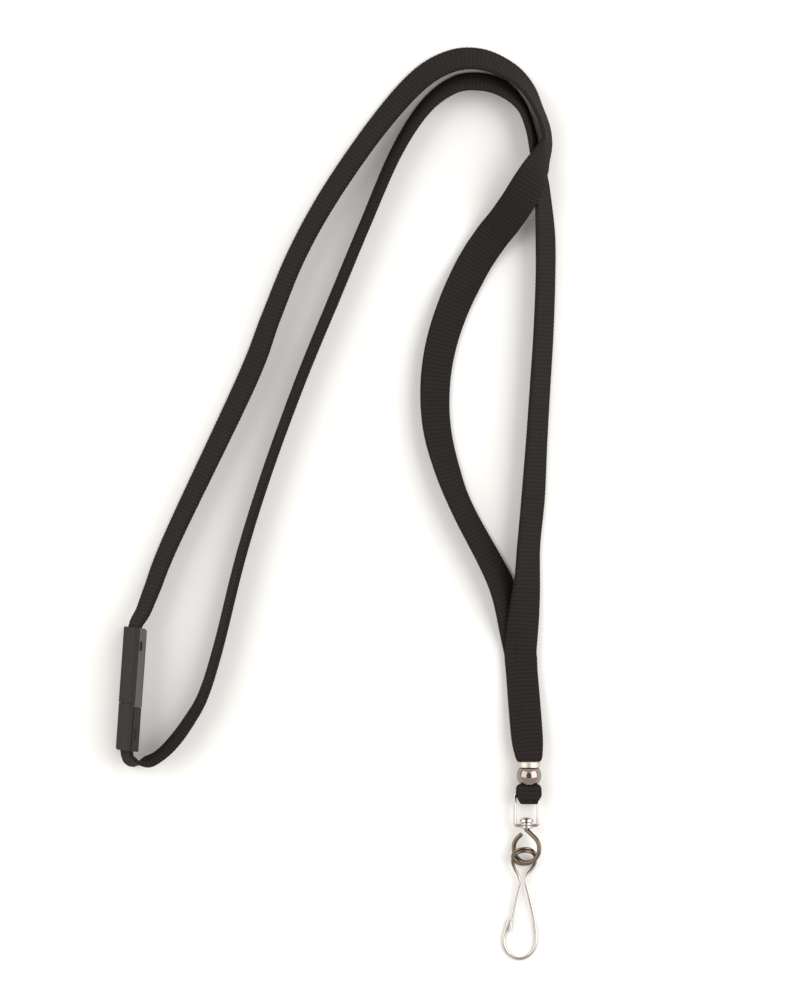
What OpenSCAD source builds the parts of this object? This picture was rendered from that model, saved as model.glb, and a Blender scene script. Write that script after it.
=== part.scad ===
// Breakaway neck lanyard with a crimp bead and a swivel spring hook, lying on a flat surface.
// The strap runs from the bead round the neck and back; +X and +Y span the surface, +Z is up.

/* [Strap] */
// Width of the flat braid
strap_w = 10; // [8:0.5:12]
// Thickness of the flat braid
strap_t = 1.3; // [1:0.1:1.6]

/* [Crimp bead] */
// Diameter of the bead
bead_d = 7.3; // [6:0.1:9]
// Length of the bead along the strap, without its collar
bead_len = 5.2; // [4.6:0.1:5.8]
// Diameter of the collar on the bead's upper end
collar_d = 6.5; // [5.5:0.1:7.2]
// Length of the collar
collar_len = 1.5; // [1.2:0.1:1.8]
// Metal left on each side of the strap inside the bead
bead_side_wall = 1.2; // [0.9:0.05:1.4]

/* [Breakaway clasp] */
// Length of the socket half
socket_len = 23.2; // [19:0.2:28]
// Length of the plug half, without its tongue
plug_len = 12.9; // [10.5:0.1:16]
// Length of the tongue that enters the socket
tongue_len = 10; // [8:0.5:12]
// Width of the tongue
tongue_w = 8.2; // [6.8:0.1:8.8]
// Depth of the pocket that grips each strap end
grip_depth = 8.6; // [7:0.2:9.5]
// Thickness of the side walls
clasp_side_wall = 0.95; // [0.8:0.05:1.5]
// Thickness of the floor of each clasp body
clasp_floor = 1.08; // [0.9:0.05:1.5]
// Thickness of each snap-on cover
cover_t = 0.9; // [0.7:0.05:1.2]
// How much narrower the plug half is than the socket half
plug_inset = 0.5; // [0.2:0.1:0.8]
// Edge radius of both halves
clasp_edge = 0.8; // [0.4:0.1:0.85]

/* [Bail] */
// Wire diameter of the bail
bail_wire = 1.0; // [0.8:0.05:1.2]
// Distance between the middles of the bail's legs
bail_w = 6.9; // [6.4:0.1:8.6]
// Distance from the bail's bar to its collar round the post
bail_len = 9.3; // [8:0.1:11]

/* [Swivel eye] */
// Diameter of the swivel post
post_d = 1.4; // [1.2:0.05:1.7]
// Diameter of the formed head on the post
head_d = 4.0; // [3.2:0.1:4.8]
// Thickness of the head
head_t = 1.4; // [1:0.1:1.7]
// Wire diameter of the eye
eye_wire = 1.3; // [1.1:0.05:1.45]
// Bend radius of the eye, to the middle of its wire
eye_r = 4.2; // [4:0.05:4.5]

/* [Hook] */
// Wire diameter of the spring hook
hook_wire_d = 0.9; // [0.75:0.05:1]
// Radius of the hook's coil, to the middle of its wire
coil_r = 3.3; // [3.1:0.05:3.5]
// Advance of the coil in one turn
coil_pitch = 1.05; // [1:0.05:1.2]

/* [Hidden] */

axis_z = bead_d / 2;              // height of the bead, bail and swivel axis
running_clear = 0.08;             // clearance round the swivel post
slide_clear = 0.1;                // clearance round the tongue
strap_clear = 0.16;               // room beside and over the strap in its pockets
tooth_bite = 0.15;                // how far the cover's teeth press into the strap

// ---- Strap -------------------------------------------------------------------------------
// Each row is [x, y, lift, lean, squeeze]: a point of the middle line, how far the strap's
// lower edge is above the surface, the angle of its width from the surface with the left-hand
// edge up, and the share of its full width where it is gathered.
bead_x = 57.2;
bead_y = -79.7;
layer_gap = 0.06;
crimp = (bead_d - 2 * bead_side_wall - 2 * 0.1) / strap_w;
low_layer = axis_z - strap_t - layer_gap / 2;
high_layer = axis_z + layer_gap / 2;
on_top = strap_t + 0.1;           // how much higher the right arm lies where it is on the left arm

left_route = [
    [bead_x, bead_y, low_layer, 0, crimp],
    [bead_x, -76, low_layer, 0, crimp],
    [57.2, -75.4, 2.28, 0, 0.7],
    [57.1, -73.3, 2.13, 0, 0.83],
    [56.5, -67, 1.5, 0, 0.94],
    [55.2, -50, 0.1, 0, 0.93],
    [54.3, -42, 0, 4, 0.95],
    [49.2, -24, 0, 42],
    [37.9, -2, 0, 52],
    [33.2, 10, 0, 45],
    [30.2, 22, 0, 37],
    [29.6, 34, 0, 32],
    [31.2, 46, 0, 27],
    [35.0, 58, 0, 21],
    [40.7, 70, 0.3, 7],
    [45.9, 78, 1.8, 2],
    [49.6, 82.6, 4.6, 0],
    [52.8, 87, 7.6, 0],
    [55.6, 91.4, 9.6, 4],
    [58.3, 96.2, 7.9, 27],
    [60.7, 101, 3.2, 54],
    [62.4, 106, 0.2, 75],
    [61.8, 111, 0, 77],
    [59.7, 116.4, 0, 76],
    [56.6, 122.2, 0, 68],
    [51.2, 127.2, 0, 59],
    [42.8, 130.6, 0, 52],
    [34, 129.9, 0, 50],
    [24.5, 124.2, 0, 51],
    [12.5, 110.6, 0, 55],
    [-1.2, 90.9, 0, 57],
    [-11, 73.2, 0, 59],
    [-18.5, 55, 0, 58],
    [-25.8, 36, 0, 55],
    [-47.3, -9.5, 0, 61],
    [-53.5, -25, 0.3, 64],
    [-56, -31.4, 0.9, 67],
    [-58.2, -35.4, 1.24, 70],
    [-58.67, -39.4, 1.24, 70],
    [-59.05, -44.8, 1.24, 70]];

right_route = [
    [bead_x, bead_y, high_layer, 0, crimp],
    [bead_x, -76, high_layer, 0, crimp],
    [57.2, -75.4, 2.26 + on_top, 0, 0.7],
    [57.1, -73.3, 2.13 + on_top, 0, 0.83],
    [56.5, -67, 1.5 + on_top, 0, 0.94],
    [55.1, -50, 0.1 + on_top, 0, 0.93],
    [54.8, -42, on_top, 4, 0.95],
    [56.5, -24, 0.2, 40],
    [57.1, -12, 0, 50],
    [58.4, 2, 0, 49],
    [59.4, 18, 0, 54],
    [60.4, 34, 0, 56],
    [61.4, 50, 0, 57],
    [62.0, 66, 0, 58],
    [62, 78, 0, 58],
    [61.4, 88, 0, 64],
    [60.5, 95.5, 0, 67],
    [59.1, 103, 0, 75],
    [57.5, 110.4, 0, 78],
    [54.9, 116.8, 0, 75],
    [49.6, 121.9, 0, 63],
    [42.8, 124, 0, 60],
    [35, 122.9, 0, 63],
    [26.5, 116.2, 0, 69],
    [18, 102.8, 0, 73],
    [9, 82, 0, 75],
    [0.2, 60.8, 0, 75],
    [-9.6, 37, 0, 76],
    [-19.5, 10, 0, 77],
    [-27.3, -15, 0, 77],
    [-33.9, -41.5, 0, 77],
    [-38.4, -56, 0, 76],
    [-42.8, -63.9, 0, 74],
    [-47.3, -70, 0.2, 73],
    [-51.4, -73.9, 0.4, 75],
    [-55.1, -75.7, 0.7, 77],
    [-58.8, -75.8, 1, 103],
    [-60.8, -73.2, 1.24, 108],
    [-60.28, -64.6, 1.24, 110]];
return_start = 32;                // the row of right_route where the stretch beside the plug starts

// Each row is [x, y, height above the axis, width] round the bail's bar.
loop_x = 57.1;
loop_bottom = -87.5;
layer = (strap_t + layer_gap) / 2;
loop_open = strap_t / 2 + bail_wire / 2 + 0.24;
loop_w = strap_w * 0.75;
fold_w = bail_w - bail_wire - 1;
loop_route = [
    [bead_x, bead_y, layer, crimp * strap_w],
    [bead_x, bead_y - bead_len / 2, layer, crimp * strap_w],
    [loop_x, -83, loop_open * 0.9, loop_w * 0.95],
    [loop_x, -84, loop_open + 0.05, loop_w],
    [loop_x, -85.6, loop_open + 0.12, loop_w],
    [loop_x - 0.2, -86.9, loop_open, (loop_w + 2 * fold_w) / 3],
    [loop_x - 0.6, loop_bottom, 0, fold_w],
    [loop_x - 0.2, -86.9, -loop_open, (loop_w + 2 * fold_w) / 3],
    [loop_x, -85.6, -loop_open - 0.12, loop_w],
    [loop_x, -84, -loop_open - 0.05, loop_w],
    [loop_x, -83, -loop_open * 0.9, loop_w * 0.95],
    [bead_x, bead_y - bead_len / 2, -layer, crimp * strap_w],
    [bead_x, bead_y, -layer, crimp * strap_w]];

function unit(v) = v / norm(v);
function heading(points, i) =
    unit(points[min(i + 1, len(points) - 1)] - points[max(i - 1, 0)]);
function squeeze(row) = len(row) > 4 ? row[4] : 1;
function lean_height(lean, w) = (w * abs(sin(lean)) + strap_t * abs(cos(lean))) / 2;

// Flat section with rounded edges, listed anticlockwise
function strap_section(w) = let (a = w / 2, b = strap_t / 2, e = strap_t * 0.3)
    [[a, -b / 2], [a, b / 2], [a - e, b], [e - a, b],
     [-a, b / 2], [-a, -b / 2], [e - a, -b], [a - e, -b]];

// One ring of a section at a point, with its first axis turned square to the heading
function ring(point, ahead, side, section) =
    let (up = unit(cross(ahead, side)), across = cross(up, ahead))
    [for (s = section) point + s[0] * across + s[1] * up];

function arm_rings(rows) =
    let (middle = [for (r = rows) [r[0], r[1], r[2] + lean_height(r[3], strap_w * squeeze(r))]])
    [for (i = [0 : len(rows) - 1])
        let (ahead = heading(middle, i), left = unit([-ahead[1], ahead[0], 0]), lean = rows[i][3])
        ring(middle[i], ahead, cos(lean) * left + [0, 0, sin(lean)],
            strap_section(strap_w * squeeze(rows[i])))];

function loop_rings(rows) =
    let (middle = [for (r = rows) [r[0], r[1], axis_z + r[2]]])
    [for (i = [0 : len(rows) - 1])
        ring(middle[i], heading([for (m = middle) [0, m[1], m[2]]], i), [1, 0, 0],
            strap_section(rows[i][3]))];

// Closed skin over rings of equal length
module skin(rings) {
    n = len(rings[0]);
    last = len(rings) - 1;
    sides = [for (i = [0 : last - 1]) for (j = [0 : n - 1])
        let (a = i * n + j, b = i * n + (j + 1) % n, c = b + n, d = a + n)
        each [[a, d, c], [a, c, b]]];
    caps = [[for (j = [0 : n - 1]) j], [for (j = [n - 1 : -1 : 0]) last * n + j]];
    polyhedron(points = [for (r = rings) each r], faces = concat(sides, caps), convexity = 6);
}

function part_of(list, from, to) = [for (i = [from : to]) list[i]];

module strap_arm_left() {
    color("#28241f") skin(arm_rings(left_route));
}
module strap_arm_right() {
    color("#28241f") skin(part_of(arm_rings(right_route), 0, return_start));
}
module strap_return() {
    color("#2c2823") skin(part_of(arm_rings(right_route), return_start, len(right_route) - 1));
}
module strap_loop() {
    color("#1e1b18") skin(loop_rings(loop_route));
}

// ---- Crimp bead --------------------------------------------------------------------------
module crimp_bead() {
    slot_w = bead_d - 2 * bead_side_wall;
    slot_t = 2 * strap_t + layer_gap + 0.04;
    collar_edge = collar_len * 0.3;
    color("#c9c4bb") translate([bead_x, bead_y, axis_z]) difference() {
        rotate([-90, 0, 0]) rotate_extrude($fn = 64) intersection() {
            union() {
                circle(d = bead_d, $fn = 64);
                translate([0, bead_len / 2 - 0.2]) {
                    square([collar_d / 2 - collar_edge, collar_len + 0.2]);
                    square([collar_d / 2, collar_len + 0.2 - collar_edge]);
                    translate([collar_d / 2 - collar_edge, collar_len + 0.2 - collar_edge])
                        circle(collar_edge, $fn = 32);
                }
            }
            translate([0, -bead_len / 2]) square([bead_d, bead_len + collar_len]);
        }
        cube([slot_w, 2 * bead_d + 2 * collar_len, slot_t], center = true);
    }
}

// ---- Breakaway clasp ---------------------------------------------------------------------
// Built lying flat with its length on Y from the plug's outer end, its width on X and its
// thickness on Z, then leaned over and turned into place.
clasp_foot = [-60.8, -72.3];
clasp_turn = -4;
clasp_lean = 70;
pocket_w = strap_w + 2 * strap_clear;
pocket_t = strap_t + 2 * strap_clear;
clasp_w = pocket_w + 2 * clasp_side_wall;
clasp_t = clasp_floor + pocket_t + cover_t;
seam_z = clasp_t / 2 - cover_t;   // where the cover meets the body
pocket_z = seam_z - pocket_t;     // floor of the pockets
body_mouth = plug_len + 0.1;      // the socket body's lower edge
cover_step = 1.0;                 // how much shorter the socket's cover is
clasp_end = plug_len + socket_len + 0.1;
tongue_t = pocket_t - 2 * slide_clear;
tongue_z = pocket_z + slide_clear;
clasp_rise = ((clasp_w - 2 * clasp_edge) * sin(clasp_lean)
    + (clasp_t - 2 * clasp_edge) * cos(clasp_lean)) / 2 + clasp_edge;

module place_clasp() {
    translate([clasp_foot[0], clasp_foot[1], clasp_rise])
        rotate([0, 0, clasp_turn]) rotate([0, -clasp_lean, 0]) children();
}

// Bar along Y with rounded long edges
module edged_bar(w, t, from, to, r) {
    translate([0, to, 0]) rotate([90, 0, 0]) linear_extrude(to - from) {
        square([w - 2 * r, t], center = true);
        square([w, t - 2 * r], center = true);
        for (x = [-1, 1]) for (z = [-1, 1])
            translate([x * (w / 2 - r), z * (t / 2 - r)]) circle(r, $fn = 32);
    }
}

// Side outline of the socket half, with the back edge of its strap end rounded
module socket_side() {
    corner = 1.5;
    translate([body_mouth, -clasp_t]) square([clasp_end - corner - body_mouth, 2 * clasp_t]);
    translate([body_mouth, corner - clasp_t / 2])
        square([clasp_end - body_mouth, seam_z - corner + clasp_t / 2]);
    translate([clasp_end - corner, corner - clasp_t / 2]) circle(corner, $fn = 48);
}

// Plan outline of the plug half, with its lower left corner cut off
module plug_plan(w) {
    cut = 1.4;
    polygon([[-w / 2 + cut, 0], [w, 0], [w, clasp_end], [-w, clasp_end], [-w, cut + w / 2],
        [-w / 2, cut]]);
}

module box(x0, x1, y0, y1, z0, z1) {
    translate([x0, y0, z0]) cube([x1 - x0, y1 - y0, z1 - z0]);
}

// Narrow groove along both sides of a body, just under its cover
module side_grooves(w, from, to) {
    deep = 0.3;
    high = 0.3;
    for (x = [-w, w / 2 - deep])
        box(x, x + w / 2 + deep, from - 1, to + 1, seam_z - high, seam_z + 0.1);
}

// Snap lug of a cover and the channel and window that it sits in, on both sides
lug_w = 2.6;
lug_t = 0.4;
module lugs(w, y, grow) {
    for (side = [-1, 1]) {
        x = side * (w / 2 - clasp_side_wall / 2);
        box(x - lug_t / 2 - grow, x + lug_t / 2 + grow, y - lug_w / 2 - grow,
            y + lug_w / 2 + grow, seam_z - 1.4 - grow, seam_z + 0.1);
    }
}
module windows(w, y) {
    for (side = [-1, 1]) translate([side * w / 2, y, seam_z - 0.95]) rotate([0, 90, 0]) {
        translate([0, -1, 0]) cylinder(r = 0.45, h = clasp_side_wall, center = true, $fn = 32);
        translate([0, 1, 0]) cylinder(r = 0.45, h = clasp_side_wall, center = true, $fn = 32);
        cube([0.9, 2, clasp_side_wall], center = true);
    }
}

// Ridges under a cover that bite into the strap
module teeth(from, to) {
    pitch = (to - from - 1.2) / 3;
    strap_top = (pocket_z + seam_z + strap_t) / 2;
    for (i = [0 : 3])
        box(-strap_w / 2 + 0.6, strap_w / 2 - 0.6, from + 0.3 + i * pitch,
            from + 0.9 + i * pitch, strap_top - tooth_bite, seam_z + 0.1);
}

socket_lug_y = clasp_end - 5.3;
plug_lug_y = 5;
socket_w = clasp_w;
plug_w = clasp_w - plug_inset;
plug_t = clasp_t;

module socket_body() {
    cavity_end = plug_len + tongue_len + 0.4;
    color("#45403d") place_clasp() difference() {
        intersection() {
            edged_bar(socket_w, clasp_t, body_mouth, clasp_end, clasp_edge);
            translate([-socket_w, 0, 0]) rotate([90, 0, 90])
                linear_extrude(2 * socket_w) socket_side();
            box(-socket_w, socket_w, 0, clasp_end + 1, -clasp_t, seam_z);
        }
        box(-tongue_w / 2 - slide_clear, tongue_w / 2 + slide_clear,
            body_mouth - 1, cavity_end, pocket_z, clasp_t);
        box(-pocket_w / 2, pocket_w / 2, clasp_end - grip_depth, clasp_end + 1, pocket_z, clasp_t);
        lugs(socket_w, socket_lug_y, 0.05);
        windows(socket_w, socket_lug_y);
        side_grooves(socket_w, body_mouth, clasp_end);
    }
}

module socket_cover() {
    color("#4b4642") place_clasp() {
        intersection() {
            edged_bar(socket_w, clasp_t, body_mouth + cover_step, clasp_end, clasp_edge);
            box(-socket_w, socket_w, 0, clasp_end + 1, seam_z, clasp_t);
        }
        lugs(socket_w, socket_lug_y, 0);
        teeth(clasp_end - grip_depth, clasp_end);
    }
}

module plug_body() {
    color("#403b38") place_clasp() {
        difference() {
            intersection() {
                edged_bar(plug_w, plug_t, 0, plug_len, clasp_edge);
                translate([0, 0, -plug_t]) linear_extrude(plug_t + seam_z) plug_plan(plug_w);
            }
            box(-pocket_w / 2, pocket_w / 2, -1, grip_depth, pocket_z, plug_t);
            lugs(plug_w, plug_lug_y, 0.05);
            windows(plug_w, plug_lug_y);
            side_grooves(plug_w, 0, plug_len);
        }
        difference() {
            box(-tongue_w / 2, tongue_w / 2, plug_len - 0.5, plug_len + tongue_len,
                tongue_z, tongue_z + tongue_t);
            // slit that lets the two prongs of the tongue spring together
            box(-0.6, 0.6, plug_len + 2.2, plug_len + tongue_len + 1, -clasp_t, clasp_t);
            for (side = [-1, 1]) translate([side * tongue_w / 2, plug_len + tongue_len, 0])
                rotate([0, 0, 45]) cube([1.6, 1.6, 2 * clasp_t], center = true);
        }
    }
}

module plug_cover() {
    color("#46413e") place_clasp() {
        intersection() {
            edged_bar(plug_w, plug_t, 0, plug_len + cover_step, clasp_edge);
            translate([0, 0, seam_z]) linear_extrude(plug_t) plug_plan(plug_w);
        }
        lugs(plug_w, plug_lug_y, 0);
        teeth(0, grip_depth);
    }
}

// ---- Bail and swivel ---------------------------------------------------------------------
// Built flat with the swivel axis on Y through x = 0 and the neck of the eye at the origin.
neck = [56.45, -95.6, axis_z];
collar_pitch = bail_wire * 0.9;
collar_low = 0.75;                // height of the lower turn of the bail's collar over the neck
bar_y = collar_low + collar_pitch + bail_len;
head_y = collar_low + collar_pitch + bail_wire / 2 + running_clear;

// Straight wire between two points of the flat plane
module wire_line(a, b, d) {
    run = b - a;
    translate([a[0], a[1], 0]) rotate([0, 0, atan2(run[1], run[0])]) rotate([0, 90, 0])
        cylinder(d = d, h = norm(run), $fn = 32);
}
// Bent wire round a centre, from one angle through a sweep
module wire_bend(centre, r, from, sweep, d) {
    translate([centre[0], centre[1], 0]) rotate([0, 0, sweep < 0 ? from + sweep : from])
        rotate_extrude(angle = abs(sweep), $fn = 96) translate([r, 0]) circle(d = d, $fn = 32);
}

module swivel_bail() {
    half = bail_w / 2;
    top_bend = 1.4;
    low_bend = 0.8;
    base_y = collar_low + collar_pitch / 2;
    ring_r = post_d / 2 + running_clear + bail_wire / 2;
    color("#cfcac2") translate(neck) {
        wire_line([top_bend - half, bar_y], [half - top_bend, bar_y], bail_wire);
        for (side = [0, 1]) mirror([side, 0, 0]) {
            wire_bend([half - top_bend, bar_y - top_bend], top_bend, 0, 90, bail_wire);
            wire_line([half, base_y + low_bend], [half, bar_y - top_bend], bail_wire);
            wire_bend([half - low_bend, base_y + low_bend], low_bend, -90, 90, bail_wire);
            wire_line([ring_r, base_y], [half - low_bend, base_y], bail_wire);
        }
        rotate([-90, 0, 0]) rotate_extrude($fn = 64) {
            translate([ring_r, collar_low]) circle(d = bail_wire, $fn = 32);
            translate([ring_r, collar_low + collar_pitch]) circle(d = bail_wire, $fn = 32);
        }
    }
}

eye_roll = 28;                    // how far the eye is turned about the swivel axis at rest
eye_slope = 50;                   // slope of the eye's straight sides at the neck
eye_tail = 1.4;                   // length of the straight free end
eye_drop = eye_r / sin(eye_slope); // from the neck to the middle of the eye
module swivel_eye() {
    dome = head_t * 0.45;
    dome_r = (dome * dome + head_d * head_d / 4) / (2 * dome);
    color("#8d8274") translate(neck) {
        rotate([-90, 0, 0]) rotate_extrude($fn = 64) {
            square([post_d / 2, head_y + 0.2]);
            translate([0, head_y]) intersection() {
                translate([0, head_t - dome_r]) circle(dome_r, $fn = 128);
                square([head_d / 2, head_t]);
            }
        }
        sphere(d = post_d, $fn = 48);
        rotate([0, -eye_roll, 0]) translate([0, -eye_drop, 0]) {
            rotate([0, 0, -180 - eye_slope]) {
                rotate_extrude(angle = 180 + 2 * eye_slope, $fn = 96)
                    translate([eye_r, 0]) circle(d = eye_wire, $fn = 32);
                translate([eye_r, 0, 0]) rotate([90, 0, 0])
                    cylinder(d = eye_wire, h = eye_tail, $fn = 32);
            }
            rotate([0, 0, eye_slope]) translate([eye_r, 0, 0]) rotate([-90, 0, 0])
                cylinder(d = eye_wire, h = eye_r / tan(eye_slope), $fn = 32);
        }
    }
}

// ---- Spring hook -------------------------------------------------------------------------
// One wire: catch tip, lower bend, back leg, one and a half turns of coil, then the gate leg.
// Leg rows are [x, y, lift] from the coil's middle, with the lift over the surface.
coil_middle = [neck[0] - 0.8, neck[1] - 8.1, axis_z - 0.5];
coil_tilt = 48;
coil_yaw = 4;
coil_sweep = 540;
coil_steps = 44;
back_leg = [
    [-4.55, -18.65, 0.35], [-4.9, -20.3, 0.3], [-5.6, -22.8, 0.15], [-5.85, -25.2, 0.05],
    [-5.15, -27.5, 0.03], [-3.55, -29.2, 0.03], [-1.25, -30, 0.03], [0.95, -29.4, 0.03],
    [2.65, -27.8, 0.05], [3.5, -25.6, 0.1], [3.55, -22.6, 0.25], [3.05, -18.3, 0.55],
    [1.75, -12.4, 0.95], [0.8, -8.5, 1.2], [0.6, -6.9, 1.2], [1.1, -5.3, 1],
    [2.35, -3.7, 0.6], [3.2, -2.2, 0.5], [3.45, -0.9, 0.75]];
gate_leg_top = [[-3.2, -2.0, 2.55], [-2.45, -3.8, 2.0], [-1.55, -5.5, 1.6], [-1.2, -6.9, 1.4]];
gate_leg = [[-1.2, -6.9, 1.4], [-1.35, -8.1, 1.3], [-2.4, -12.4, 1], [-3.5, -18.2, 0.6],
    [-3.95, -22, 0.45]];
gate_gap = 0.14;                  // gap between the gate leg and the neck that it bends at

function leg_point(row) =
    [coil_middle[0] + row[0], coil_middle[1] + row[1], row[2] + hook_wire_d / 2];
function coil_point(a) = let (
        along = (a / coil_sweep - 0.5) * coil_pitch * coil_sweep / 360,
        x = coil_r * cos(a),
        y = coil_r * sin(a) * cos(coil_tilt) - along * sin(coil_tilt),
        z = coil_r * sin(a) * sin(coil_tilt) + along * cos(coil_tilt))
    coil_middle + [x * cos(coil_yaw) - y * sin(coil_yaw), x * sin(coil_yaw) + y * cos(coil_yaw), z];

// Smooth curve through hand-placed points
function between(p, i, u) = let (a = p[max(i - 1, 0)], b = p[i], c = p[i + 1],
        d = p[min(i + 2, len(p) - 1)])
    (2 * b + (c - a) * u + (2 * a - 5 * b + 4 * c - d) * u * u
        + (3 * b - a - 3 * c + d) * u * u * u) / 2;
function smooth(p, steps) =
    [for (i = [0 : len(p) - 2]) for (k = [0 : steps - 1]) between(p, i, k / steps), p[len(p) - 1]];

function round_section(d) = [for (a = [0 : 36 : 324]) d / 2 * [cos(a), sin(a)]];
function wire_rings(points, d) =
    [for (i = [0 : len(points) - 1]) let (ahead = heading(points, i))
        ring(points[i], ahead, cross([0, 0, 1], ahead), round_section(d))];

module hook_wire() {
    back = smooth([for (r = back_leg) leg_point(r), coil_point(0)], 3);
    coil = [for (i = [1 : coil_steps]) coil_point(i * coil_sweep / coil_steps)];
    top = smooth([coil_point(coil_sweep), for (r = gate_leg_top) leg_point(r)], 3);
    color("#c4beb4")
        skin(wire_rings(concat(back, coil, part_of(top, 1, len(top) - 1)), hook_wire_d));
}

module hook_gate() {
    leg = smooth([for (r = gate_leg) leg_point(r)], 4);
    start = leg[0] + gate_gap * unit(leg[1] - leg[0]);
    color("#cbc6bd") skin(wire_rings(concat([start], part_of(leg, 1, len(leg) - 1)), hook_wire_d));
}

strap_arm_left();
strap_arm_right();
strap_return();
strap_loop();
crimp_bead();
socket_body();
socket_cover();
plug_body();
plug_cover();
swivel_bail();
swivel_eye();
hook_wire();
hook_gate();
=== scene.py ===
import math
import bpy
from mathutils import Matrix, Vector


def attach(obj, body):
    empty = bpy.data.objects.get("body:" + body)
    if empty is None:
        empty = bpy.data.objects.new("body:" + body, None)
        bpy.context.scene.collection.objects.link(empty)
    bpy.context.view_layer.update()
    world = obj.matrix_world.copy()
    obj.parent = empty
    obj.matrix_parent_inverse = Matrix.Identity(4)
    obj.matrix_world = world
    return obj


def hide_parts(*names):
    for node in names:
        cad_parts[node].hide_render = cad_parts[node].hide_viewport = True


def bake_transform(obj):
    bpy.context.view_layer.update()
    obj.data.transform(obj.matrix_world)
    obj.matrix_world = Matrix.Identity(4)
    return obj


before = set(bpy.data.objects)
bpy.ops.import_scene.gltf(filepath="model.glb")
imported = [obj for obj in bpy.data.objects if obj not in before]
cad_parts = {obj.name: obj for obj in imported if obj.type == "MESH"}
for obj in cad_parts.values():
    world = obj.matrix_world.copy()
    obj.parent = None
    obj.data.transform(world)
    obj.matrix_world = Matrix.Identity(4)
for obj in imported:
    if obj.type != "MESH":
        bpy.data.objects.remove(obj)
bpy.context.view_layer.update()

# Camera
# Looks straight down on the lanyard from over its middle, through a long lens that keeps the
# strap's leaning sides from spreading towards the edges of the view.
camera_data = bpy.data.cameras.new("camera")
camera_data.sensor_fit = "VERTICAL"
camera_data.sensor_height = 36
camera_data.lens = 300
camera_data.clip_start = 0.01
camera_data.clip_end = 20
camera = bpy.data.objects.new("camera", camera_data)
camera.location = (0.0193, 0.0012, 2.451)
bpy.context.scene.collection.objects.link(camera)
bpy.context.scene.camera = camera
bpy.context.scene.view_settings.view_transform = "Standard"

# Strap routes
# One flat tubular braid runs up from the bead in two arms, round the neck and into the clasp.
# One row is a point of its middle line in millimetres: x, y, how far its lower edge is above the
# table, the lean of its width with the left-hand edge up, in degrees, and how far it is gathered.
MM = 0.001
BRAID_W, BRAID_T = 10.0, 1.3
IN_BEAD = 0.47
left_rows = [
    (57.2, -79.7, 2.32, 0, IN_BEAD), (57.2, -76, 2.32, 0, IN_BEAD), (57.2, -75.4, 2.28, 0, 0.7),
    (57.1, -73.3, 2.13, 0, 0.83), (56.5, -67, 1.5, 0, 0.94), (55.2, -50, 0.1, 0, 0.93),
    (54.3, -42, 0, 4, 0.95), (49.2, -24, 0, 42, 1), (37.9, -2, 0, 52, 1), (33.2, 10, 0, 45, 1),
    (30.2, 22, 0, 37, 1), (29.6, 34, 0, 32, 1), (31.2, 46, 0, 27, 1), (35.0, 58, 0, 21, 1),
    (40.7, 70, 0.3, 7, 1), (45.9, 78, 1.8, 2, 1), (49.6, 82.6, 4.6, 0, 1), (52.8, 87, 7.6, 0, 1),
    (55.6, 91.4, 9.6, 4, 1), (58.3, 96.2, 7.9, 27, 1), (60.7, 101, 3.2, 54, 1),
    (62.4, 106, 0.2, 75, 1), (61.8, 111, 0, 77, 1), (59.7, 116.4, 0, 76, 1),
    (56.6, 122.2, 0, 68, 1), (51.2, 127.2, 0, 59, 1), (42.8, 130.6, 0, 52, 1),
    (34, 129.9, 0, 50, 1), (24.5, 124.2, 0, 51, 1), (12.5, 110.6, 0, 55, 1),
    (-1.2, 90.9, 0, 57, 1), (-11, 73.2, 0, 59, 1), (-18.5, 55, 0, 58, 1), (-25.8, 36, 0, 55, 1),
    (-47.3, -9.5, 0, 61, 1), (-53.5, -25, 0.3, 64, 1), (-56, -31.4, 0.9, 67, 1),
    (-58.2, -35.4, 1.24, 70, 1), (-58.67, -39.4, 1.24, 70, 1), (-59.05, -44.8, 1.24, 70, 1)]
right_rows = [
    (57.2, -79.7, 3.68, 0, IN_BEAD), (57.2, -76, 3.68, 0, IN_BEAD), (57.2, -75.4, 3.66, 0, 0.7),
    (57.1, -73.3, 3.53, 0, 0.83), (56.5, -67, 2.9, 0, 0.94), (55.1, -50, 1.5, 0, 0.93),
    (54.8, -42, 1.4, 4, 0.95), (56.5, -24, 0.2, 40, 1), (57.1, -12, 0, 50, 1), (58.4, 2, 0, 49, 1),
    (59.4, 18, 0, 54, 1), (60.4, 34, 0, 56, 1), (61.4, 50, 0, 57, 1), (62.0, 66, 0, 58, 1),
    (62, 78, 0, 58, 1), (61.4, 88, 0, 64, 1), (60.5, 95.5, 0, 67, 1), (59.1, 103, 0, 75, 1),
    (57.5, 110.4, 0, 78, 1), (54.9, 116.8, 0, 75, 1), (49.6, 121.9, 0, 63, 1),
    (42.8, 124, 0, 60, 1), (35, 122.9, 0, 63, 1), (26.5, 116.2, 0, 69, 1), (18, 102.8, 0, 73, 1),
    (9, 82, 0, 75, 1), (0.2, 60.8, 0, 75, 1), (-9.6, 37, 0, 76, 1), (-19.5, 10, 0, 77, 1),
    (-27.3, -15, 0, 77, 1), (-33.9, -41.5, 0, 77, 1), (-38.4, -56, 0, 76, 1),
    (-42.8, -63.9, 0, 74, 1), (-47.3, -70, 0.2, 73, 1), (-51.4, -73.9, 0.4, 75, 1),
    (-55.1, -75.7, 0.7, 77, 1), (-58.8, -75.8, 1, 103, 1), (-60.8, -73.2, 1.24, 108, 1),
    (-60.28, -64.6, 1.24, 110, 1)]


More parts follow.
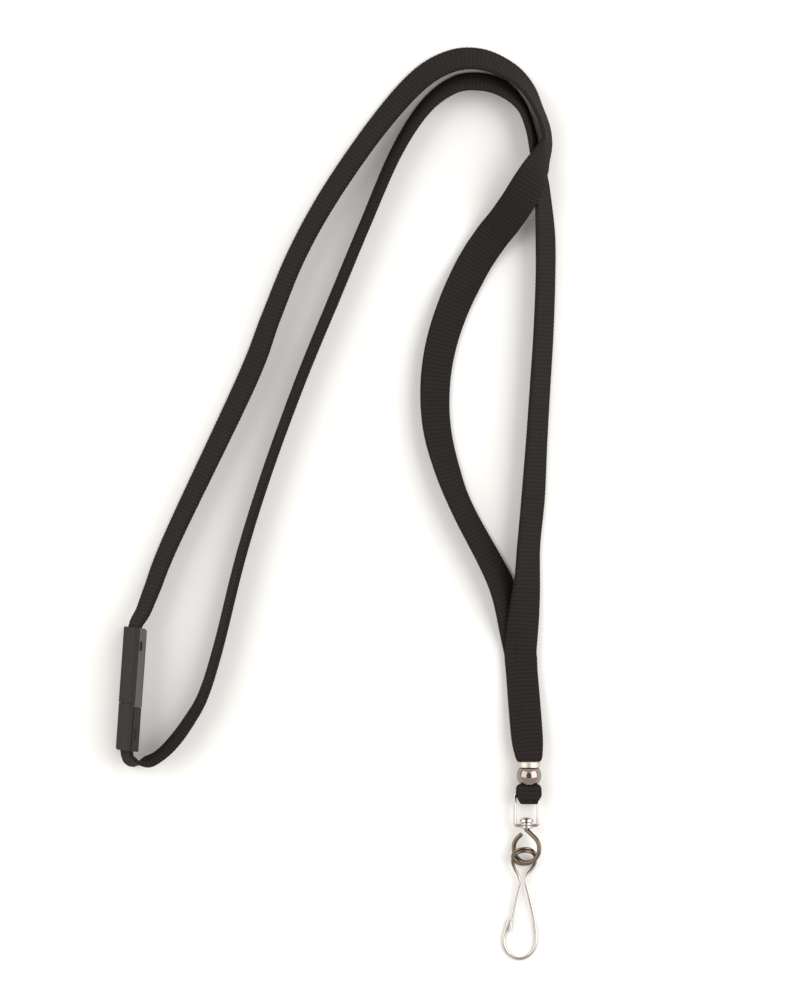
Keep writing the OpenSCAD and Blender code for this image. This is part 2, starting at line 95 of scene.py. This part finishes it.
def laid_line(name, points, twist):
    """A line through points given in metres, in the scene."""
    data = bpy.data.curves.new(name, "CURVE")
    data.dimensions = "3D"
    data.twist_mode = twist
    spline = data.splines.new("POLY")
    spline.points.add(len(points) - 1)
    for point, place in zip(spline.points, points):
        point.co = (*place, 1)
    line = bpy.data.objects.new(name, data)
    bpy.context.scene.collection.objects.link(line)
    return line, spline.points


def strap_line(name, rows):
    """The strap's middle line, its points and its length, with the lean and the gathering."""
    middle = []
    for x, y, lift, lean, gather in rows:
        lean = math.radians(lean)
        rise = (BRAID_W * gather * abs(math.sin(lean)) + BRAID_T * abs(math.cos(lean))) / 2
        middle.append((x * MM, y * MM, (lift + rise) * MM))
    line, points = laid_line(name, middle, "Z_UP")
    for point, (x, y, lift, lean, gather) in zip(points, rows):
        point.tilt = math.radians(lean)
        point.radius = gather
    path = [point.co.to_3d() for point in points]
    return line, path, sum((b - a).length for a, b in zip(path, path[1:]))


# Braid yarn
# Charcoal polyester, with painted shade: every yarn is painted lighter on its crown and dark in
# the gaps between yarns, where shade falls, with a little loose variation where the filaments are
# rubbed.
def shader(name, colour, roughness, metallic=0.0):
    material = bpy.data.materials.new(name)
    material.use_nodes = True
    surface = material.node_tree.nodes["Principled BSDF"]
    surface.inputs["Base Color"].default_value = (*colour, 1)
    surface.inputs["Roughness"].default_value = roughness
    surface.inputs["Metallic"].default_value = metallic
    return material, material.node_tree, surface


def speckle(tree, scale, detail=2.0):
    """Fine noise fixed to the piece."""
    place = tree.nodes.new("ShaderNodeTexCoord")
    noise = tree.nodes.new("ShaderNodeTexNoise")
    noise.inputs["Scale"].default_value = scale
    noise.inputs["Detail"].default_value = detail
    tree.links.new(place.outputs["Object"], noise.inputs["Vector"])
    return noise.outputs["Fac"]


def roughen(tree, surface, height, strength):
    bump = tree.nodes.new("ShaderNodeBump")
    bump.inputs["Strength"].default_value = strength
    bump.inputs["Distance"].default_value = 0.0001
    tree.links.new(height, bump.inputs["Height"])
    tree.links.new(bump.outputs["Normal"], surface.inputs["Normal"])


# Painted shade: the dark gap colour and the lighter crown colour stand for shade between the
# yarns.
SHADED_GAP_COLOUR = (0.0035, 0.0033, 0.0031, 1)
LIT_CROWN_COLOUR = (0.0195, 0.0167, 0.015, 1)
RUB_SHARE = 0.35
braid, tree, surface = shader("braid", (0.01, 0.009, 0.008), 0.8)
surface.inputs["Specular IOR Level"].default_value = 0.04
surface.inputs["Sheen Weight"].default_value = 0.02
crown = tree.nodes.new("ShaderNodeAttribute")
crown.attribute_name = "crown"
rub = speckle(tree, 900, 3)
mix = tree.nodes.new("ShaderNodeMath")
mix.operation = "MULTIPLY_ADD"
mix.inputs[1].default_value = RUB_SHARE
tree.links.new(rub, mix.inputs[0])
tree.links.new(crown.outputs["Fac"], mix.inputs[2])
# Painted shade from the stored crown height: dark in the gaps, lighter on the yarns' crowns.
gap_shade_ramp = tree.nodes.new("ShaderNodeValToRGB")
gap_shade_ramp.color_ramp.elements[0].position = 0.15
gap_shade_ramp.color_ramp.elements[0].color = SHADED_GAP_COLOUR
gap_shade_ramp.color_ramp.elements[1].position = 1.0
gap_shade_ramp.color_ramp.elements[1].color = LIT_CROWN_COLOUR
tree.links.new(mix.outputs["Value"], gap_shade_ramp.inputs["Fac"])
tree.links.new(gap_shade_ramp.outputs["Color"], surface.inputs["Base Color"])
roughen(tree, surface, rub, 0.35)

# Flat braid
# Two sets of yarns cross at a slope over and under each other. The tree sweeps a flat rounded
# section along the strap's line, gathers it, and raises the yarns that lie on top.
RINGS_PER_YARN = 4
SECTION_POINTS = 54
RIB_SHARE, CROSSING_SHARE = 0.4, 0.6
RIB_FLATNESS, CROSSING_FLATNESS = 0.8, 0.7
CORNER_SHARE = 0.42
MEAN_CROWN = 0.7


def node_tree(name, numbers):
    """A node tree with the named number inputs and a material input."""
    tree = bpy.data.node_groups.new(name, "GeometryNodeTree")
    face = tree.interface
    face.new_socket("Geometry", in_out="INPUT", socket_type="NodeSocketGeometry")
    for label, value in numbers:
        face.new_socket(label, in_out="INPUT", socket_type="NodeSocketFloat").default_value = value
    face.new_socket("Material", in_out="INPUT", socket_type="NodeSocketMaterial")
    face.new_socket("Geometry", in_out="OUTPUT", socket_type="NodeSocketGeometry")
    return tree, tree.nodes.new("NodeGroupInput").outputs


def step(tree, kind, inputs=(), **settings):
    """A node with its settings, and its inputs given as links or values."""
    node = tree.nodes.new(kind)
    for key, value in settings.items():
        setattr(node, key, value)
    for key, value in dict(inputs).items():
        if isinstance(value, bpy.types.NodeSocket):
            tree.links.new(value, node.inputs[key])
        else:
            node.inputs[key].default_value = value
    return node


def number(tree, operation, a, b=0.0, c=0.0):
    return step(tree, "ShaderNodeMath", {0: a, 1: b, 2: c}, operation=operation).outputs[0]


def scaled(tree, vector, factor):
    inputs = {0: vector, "Scale": factor}
    return step(tree, "ShaderNodeVectorMath", inputs, operation="SCALE").outputs[0]


def finish_tree(tree, shape, material):
    """Ends a tree with real geometry in its material."""
    result = tree.nodes.new("NodeGroupOutput")
    real = step(tree, "GeometryNodeRealizeInstances", {"Geometry": shape})
    coloured = step(tree, "GeometryNodeSetMaterial",
                    {"Geometry": real.outputs[0], "Material": material})
    tree.links.new(coloured.outputs[0], result.inputs["Geometry"])


weave, given = node_tree("flat_braid", (
    ("Width", BRAID_W * MM), ("Thickness", BRAID_T * MM), ("Yarn pitch", 0.0012),
    ("Crossing slope", 0.75), ("Relief", 0.0001)))
smooth = step(weave, "GeometryNodeCurveSplineType", {"Curve": given["Geometry"]},
              spline_type="CATMULL_ROM")
fine = step(weave, "GeometryNodeSetSplineResolution",
            {"Geometry": smooth.outputs[0], "Resolution": 24})
spacing = number(weave, "DIVIDE", given["Yarn pitch"], RINGS_PER_YARN)
rings = step(weave, "GeometryNodeResampleCurve", {"Curve": fine.outputs[0], "Length": spacing},
             mode="LENGTH")
line = rings.outputs[0]
stored = {}
for label, kind, source in (("middle", "VECTOR", "GeometryNodeInputPosition"),
                            ("across", "VECTOR", "GeometryNodeInputNormal"),
                            ("gather", "FLOAT", "GeometryNodeInputRadius"),
                            ("ring", "FLOAT", "GeometryNodeSplineParameter")):
    capture = weave.nodes.new("GeometryNodeCaptureAttribute")
    capture.capture_items.new(kind, label)
    outputs = step(weave, source).outputs
    weave.links.new(line, capture.inputs["Geometry"])
    weave.links.new(outputs["Index"] if label == "ring" else outputs[0], capture.inputs[label])
    line = capture.outputs["Geometry"]
    stored[label] = capture.outputs[label]
even = step(weave, "GeometryNodeSetCurveRadius", {"Curve": line, "Radius": 1.0})
flat = step(weave, "GeometryNodeCurvePrimitiveQuadrilateral",
            {"Width": given["Width"], "Height": given["Thickness"]})
corner = number(weave, "MULTIPLY", given["Thickness"], CORNER_SHARE)
rounded = step(weave, "GeometryNodeFilletCurve",
               {"Curve": flat.outputs[0], "Radius": corner, "Count": 5}, mode="POLY")
section = step(weave, "GeometryNodeResampleCurve",
               {"Curve": rounded.outputs[0], "Count": SECTION_POINTS}, mode="COUNT")
swept = step(weave, "GeometryNodeCurveToMesh",
             {"Curve": even.outputs[0], "Profile Curve": section.outputs[0], "Fill Caps": True})
here = step(weave, "GeometryNodeInputPosition").outputs[0]
offset = step(weave, "ShaderNodeVectorMath", {0: here, 1: stored["middle"]},
              operation="SUBTRACT").outputs[0]
side = step(weave, "ShaderNodeVectorMath", {0: offset, 1: stored["across"]},
            operation="DOT_PRODUCT").outputs["Value"]
lost = number(weave, "MULTIPLY", side, number(weave, "SUBTRACT", stored["gather"], 1.0))
gathered = step(weave, "GeometryNodeSetPosition",
                {"Geometry": swept.outputs[0], "Offset": scaled(weave, stored["across"], lost)})

# Each cell of the slanting lattice shows one set of yarns on top
along = number(weave, "DIVIDE", stored["ring"], RINGS_PER_YARN)
slant = number(weave, "MULTIPLY", number(weave, "DIVIDE", side, given["Yarn pitch"]),
               given["Crossing slope"])
one = number(weave, "ADD", along, slant)
other = number(weave, "SUBTRACT", along, slant)


def bulge(place):
    """Height of a yarn between its edges at whole numbers."""
    wave = number(weave, "SINE", number(weave, "MULTIPLY", place, math.pi))
    return number(weave, "ABSOLUTE", wave)


cell = number(weave, "ADD", number(weave, "FLOOR", one), number(weave, "FLOOR", other))
parity = number(weave, "FLOORED_MODULO", cell, 2.0)
top = number(weave, "MULTIPLY", bulge(one), parity)
under = number(weave, "MULTIPLY", bulge(other), number(weave, "SUBTRACT", 1.0, parity))
rib = number(weave, "POWER", bulge(along), RIB_FLATNESS)
shown = number(weave, "POWER", number(weave, "ADD", top, under), CROSSING_FLATNESS)
crossing = number(weave, "MULTIPLY", shown, CROSSING_SHARE)
crown_height = number(weave, "MULTIPLY_ADD", rib, RIB_SHARE, crossing)
# The crown height also goes to the braid's shader, which paints shade from it in the gaps.
named = step(weave, "GeometryNodeStoreNamedAttribute",
             {"Geometry": gathered.outputs[0], "Name": "crown", "Value": crown_height},
             data_type="FLOAT", domain="POINT")
outward = step(weave, "GeometryNodeInputNormal").outputs[0]
relief = number(weave, "MULTIPLY", number(weave, "SUBTRACT", crown_height, MEAN_CROWN),
                given["Relief"])
yarns = step(weave, "GeometryNodeSetPosition",
             {"Geometry": named.outputs[0], "Offset": scaled(weave, outward, relief)})
finish_tree(weave, yarns.outputs[0], given["Material"])


def grown(line, tree, **values):
    """The mesh that a node tree grows on a line, at the origin, with no modifier left."""
    modifier = line.modifiers.new("grow", "NODES")
    modifier.node_group = tree
    sockets = {s.name: s.identifier for s in tree.interface.items_tree
               if s.item_type == "SOCKET" and s.in_out == "INPUT"}
    for name, value in values.items():
        modifier[sockets[name]] = value
    bpy.context.view_layer.update()
    mesh = bpy.data.meshes.new_from_object(
        line.evaluated_get(bpy.context.evaluated_depsgraph_get()))
    name = line.name
    bpy.data.objects.remove(line)
    mesh.name = name
    piece = bpy.data.objects.new(name, mesh)
    bpy.context.scene.collection.objects.link(piece)
    return piece


# Left arm of the strap
# The outer side of the neck loop: pinched in the bead, laid over the right arm at the top, and
# gripped by the teeth in the clasp's socket.
line, path, length = strap_line("left_arm_braid", left_rows)
left_arm = grown(line, weave, Material=braid)
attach(left_arm, "strap")
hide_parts("strap_arm_left")

# Right arm of the strap
# The inner side of the neck loop: pinched in the bead on top of the left arm, and turned round
# into the plug.
line, path, length = strap_line("right_arm_braid", right_rows)
right_arm = grown(line, weave, Material=braid)
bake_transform(right_arm)
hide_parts("strap_arm_right", "strap_return")

# Fold of the strap
# The same braid below the bead, gathered and folded round the bail's bar, with both of its ends
# inside the bead. One row is y, the height over the bead's axis and the gathering.
FOLD_X = 57.1
AXIS_Z = 3.65
fold_rows = [
    (-79.7, 0.68, IN_BEAD), (-82.3, 0.68, IN_BEAD), (-83, 1.25, 0.71), (-84, 1.44, 0.75),
    (-85.6, 1.51, 0.75), (-86.9, 1.39, 0.61), (-87.5, 0, 0.49), (-86.9, -1.39, 0.61),
    (-85.6, -1.51, 0.75), (-84, -1.44, 0.75), (-83, -1.25, 0.71), (-82.3, -0.68, IN_BEAD),
    (-79.7, -0.68, IN_BEAD)]
line, points = laid_line(
    "folded_braid", [(FOLD_X * MM, y * MM, (AXIS_Z + z) * MM) for y, z, gather in fold_rows],
    "MINIMUM")
for point, (y, z, gather) in zip(points, fold_rows):
    point.radius = gather
fold = grown(line, weave, Material=braid)
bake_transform(fold)
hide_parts("strap_loop")


# Breakaway clasp
# Moulded acetal in two halves that snap together: covers and plug are matt with a fine grain,
# and the socket's body is a satin copy of the same plastic, painted lighter as painted light on
# it.
def moulded(name, colour, roughness, gloss):
    plastic, tree, surface = shader(name, colour, roughness)
    surface.inputs["Specular IOR Level"].default_value = gloss
    roughen(tree, surface, speckle(tree, 1400), 0.08)
    return plastic


def dress(node, *materials):
    """Puts the materials on a piece of the frame."""
    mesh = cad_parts[node].data
    mesh.materials.clear()
    for material in materials:
        mesh.materials.append(material)
    return mesh


matt_plastic = moulded("matt_clasp_plastic", (0.033, 0.029, 0.0265), 0.6, 0.02)
# Painted light: a lighter, glossier copy of the clasp plastic, for the light on the socket's body.
lit_satin_plastic = moulded("lit_satin_clasp_plastic", (0.062, 0.0545, 0.0505), 0.42, 0.22)
dress("socket_body", lit_satin_plastic)
for cover_or_plug in ("socket_cover", "plug_body", "plug_cover"):
    dress(cover_or_plug, matt_plastic)


# Bead, bail and swivel eye
# Nickel-plated steel: bright on the bail and the post's head; the polished crimped bead is painted
# darker as a painted dark reflection, its satin collar is painted lighter as a painted highlight,
# and the eye is painted dark brown as a painted dark reflection.
def plated(name, colour, low, high):
    """Plate whose polish varies between two roughnesses."""
    plate, tree, surface = shader(name, colour, low, 1.0)
    spread = tree.nodes.new("ShaderNodeMapRange")
    spread.inputs["To Min"].default_value = low
    spread.inputs["To Max"].default_value = high
    tree.links.new(speckle(tree, 500), spread.inputs["Value"])
    tree.links.new(spread.outputs["Result"], surface.inputs["Roughness"])
    return plate


def plate_above(mesh, y):
    """Gives the faces beyond y the mesh's second plate."""
    for face in mesh.polygons:
        if face.center.y > y:
            face.material_index = 1


BRIGHT = (0.5, 0.465, 0.42)
COLLAR_FOOT = -0.07715
HEAD_FOOT = -0.0948
bright_nickel = plated("bright_nickel", BRIGHT, 0.14, 0.3)
# Painted dark reflection: the bead's plate is a darker copy of the nickel.
dark_reflection_bead_nickel = plated("dark_reflection_bead_nickel", (0.28, 0.235, 0.21), 0.08, 0.18)
# Painted highlight: the collar's plate is a lighter copy of the nickel.
lit_collar_nickel = plated("lit_collar_nickel", (0.55, 0.51, 0.44), 0.4, 0.55)
# Painted dark reflection: the eye's plate is a dark brown copy of the nickel.
dark_reflection_eye_nickel = plated("dark_reflection_eye_nickel", (0.145, 0.11, 0.083), 0.2, 0.35)
dress("swivel_bail", bright_nickel)
plate_above(dress("crimp_bead", dark_reflection_bead_nickel, lit_collar_nickel), COLLAR_FOOT)
plate_above(dress("swivel_eye", dark_reflection_eye_nickel, bright_nickel), HEAD_FOOT)

# Spring hook
# One nickel-plated spring wire, bent into a catch, a back leg, one and a half turns of coil
# round the eye, and a gate leg that springs open. Leg rows are x and y from the coil's middle
# and the height of the wire's underside over the table.
WIRE = 0.9
COIL_R, COIL_PITCH, COIL_TURNS = 3.3, 1.05, 1.5
COIL_TILT, COIL_YAW = math.radians(48), math.radians(4)
COIL_STEP = 10
coil_middle = Vector((55.65, -103.7, 3.15))
hook_rows = [
    (-4.55, -18.65, 0.35), (-4.9, -20.3, 0.3), (-5.6, -22.8, 0.15), (-5.85, -25.2, 0.05),
    (-5.15, -27.5, 0.03), (-3.55, -29.2, 0.03), (-1.25, -30, 0.03), (0.95, -29.4, 0.03),
    (2.65, -27.8, 0.05), (3.5, -25.6, 0.1), (3.55, -22.6, 0.25), (3.05, -18.3, 0.55),
    (1.75, -12.4, 0.95), (0.8, -8.5, 1.2), (0.6, -6.9, 1.2), (1.1, -5.3, 1),
    (2.35, -3.7, 0.6), (3.2, -2.2, 0.5), (3.45, -0.9, 0.75)]
neck_rows = [(-3.2, -2.0, 2.55), (-2.45, -3.8, 2.0), (-1.55, -5.5, 1.6), (-1.2, -6.9, 1.4)]
gate_rows = [(-1.2, -6.9, 1.4), (-1.35, -8.1, 1.3), (-2.4, -12.4, 1), (-3.5, -18.2, 0.6),
             (-3.95, -22, 0.45)]

# The plate is painted dark brown round the coil, a painted dark reflection, and bright along the
# legs
COIL_DARK_REFLECTION = (0.15, 0.115, 0.087)
DARK_REFLECTION_WITHIN, BRIGHT_BEYOND = 0.0038, 0.0065
hook_nickel = plated("hook_nickel", BRIGHT, 0.14, 0.3)
tree = hook_nickel.node_tree
place = tree.nodes.new("ShaderNodeTexCoord")
reach = tree.nodes.new("ShaderNodeVectorMath")
reach.operation = "DISTANCE"
reach.inputs[1].default_value = coil_middle * MM
tree.links.new(place.outputs["Object"], reach.inputs[0])
# Painted dark reflection: dark brown near the coil's middle, fading to bright nickel along the
# legs.
reflection_fade = tree.nodes.new("ShaderNodeMapRange")
reflection_fade.inputs["From Min"].default_value = DARK_REFLECTION_WITHIN
reflection_fade.inputs["From Max"].default_value = BRIGHT_BEYOND
tree.links.new(reach.outputs["Value"], reflection_fade.inputs["Value"])
plate = tree.nodes.new("ShaderNodeValToRGB")
plate.color_ramp.elements[0].color = (*COIL_DARK_REFLECTION, 1)
plate.color_ramp.elements[1].color = (*BRIGHT, 1)
tree.links.new(reflection_fade.outputs["Result"], plate.inputs["Fac"])
tree.links.new(plate.outputs["Color"], tree.nodes["Principled BSDF"].inputs["Base Color"])


def leg(rows):
    return [Vector((coil_middle.x + x, coil_middle.y + y, lift + WIRE / 2)) * MM
            for x, y, lift in rows]


def coil_point(degrees):
    """A point of the tilted coil, which climbs evenly from below its middle to above it."""
    a = math.radians(degrees)
    rise = (degrees / (360 * COIL_TURNS) - 0.5) * COIL_PITCH * COIL_TURNS
    x = COIL_R * math.cos(a)
    y = COIL_R * math.sin(a) * math.cos(COIL_TILT) - rise * math.sin(COIL_TILT)
    z = COIL_R * math.sin(a) * math.sin(COIL_TILT) + rise * math.cos(COIL_TILT)
    turned = Vector((x * math.cos(COIL_YAW) - y * math.sin(COIL_YAW),
                     x * math.sin(COIL_YAW) + y * math.cos(COIL_YAW), z))
    return (coil_middle + turned) * MM


turns = [coil_point(degrees) for degrees in range(0, int(360 * COIL_TURNS) + 1, COIL_STEP)]
drawn, given = node_tree("drawn_wire", (("Diameter", WIRE * MM),))
smooth = step(drawn, "GeometryNodeCurveSplineType", {"Curve": given["Geometry"]},
              spline_type="CATMULL_ROM")
fine = step(drawn, "GeometryNodeSetSplineResolution",
            {"Geometry": smooth.outputs[0], "Resolution": 12})
circle = step(drawn, "GeometryNodeCurvePrimitiveCircle",
              {"Resolution": 24, "Radius": number(drawn, "DIVIDE", given["Diameter"], 2.0)})
swept = step(drawn, "GeometryNodeCurveToMesh",
             {"Curve": fine.outputs[0], "Profile Curve": circle.outputs[0], "Fill Caps": True})
finish_tree(drawn, swept.outputs[0], given["Material"])

line, points = laid_line("bent_hook_wire", leg(hook_rows) + turns + leg(neck_rows), "MINIMUM")
hook = grown(line, drawn, Diameter=WIRE * MM, Material=hook_nickel)
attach(hook, "hook")
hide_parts("hook_wire")
line, points = laid_line("gate_leg_wire", leg(gate_rows), "MINIMUM")
gate = grown(line, drawn, Diameter=WIRE * MM, Material=hook_nickel)
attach(gate, "gate")
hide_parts("hook_gate")

# Table
# A plain pale board that the lanyard lies on, larger than the view. It isn't a piece of the
# lanyard, and only catches the light and the soft shadows.
bpy.ops.mesh.primitive_plane_add(size=4, location=(0, 0, -0.00005))
table = bpy.context.object
table.name = "table_top"
paper, tree, surface = shader("table_top", (0.8, 0.79, 0.77), 0.85)
table.data.materials.append(paper)

# Light
# Two large soft boxes left and right, the right one stronger, in an even pale room, with a
# darker round ceiling that the polished bead shows between them.
bpy.ops.mesh.primitive_circle_add(vertices=64, radius=1.25, fill_type="NGON", location=(0, 0, 2.7))
ceiling = bpy.context.object
ceiling.name = "dark_ceiling"
dark, tree, surface = shader("dark_ceiling", (0.25, 0.23, 0.21), 0.9)
ceiling.data.materials.append(dark)
world = bpy.data.worlds.new("room")
bpy.context.scene.world = world
world.use_nodes = True
world.node_tree.nodes["Background"].inputs["Color"].default_value = (1, 0.985, 0.965, 1)
world.node_tree.nodes["Background"].inputs["Strength"].default_value = 0.9
BOX_SIZE = 1.5
for name, place, power in (("left_box", (-1.1, 0.25, 0.95), 14),
                           ("right_box", (1.1, 0.2, 0.95), 21)):
    lamp = bpy.data.lights.new(name, "AREA")
    lamp.size = BOX_SIZE
    lamp.energy = power
    holder = bpy.data.objects.new(name, lamp)
    holder.location = place
    holder.rotation_euler = (-Vector(place)).to_track_quat("-Z", "Y").to_euler()
    bpy.context.scene.collection.objects.link(holder)
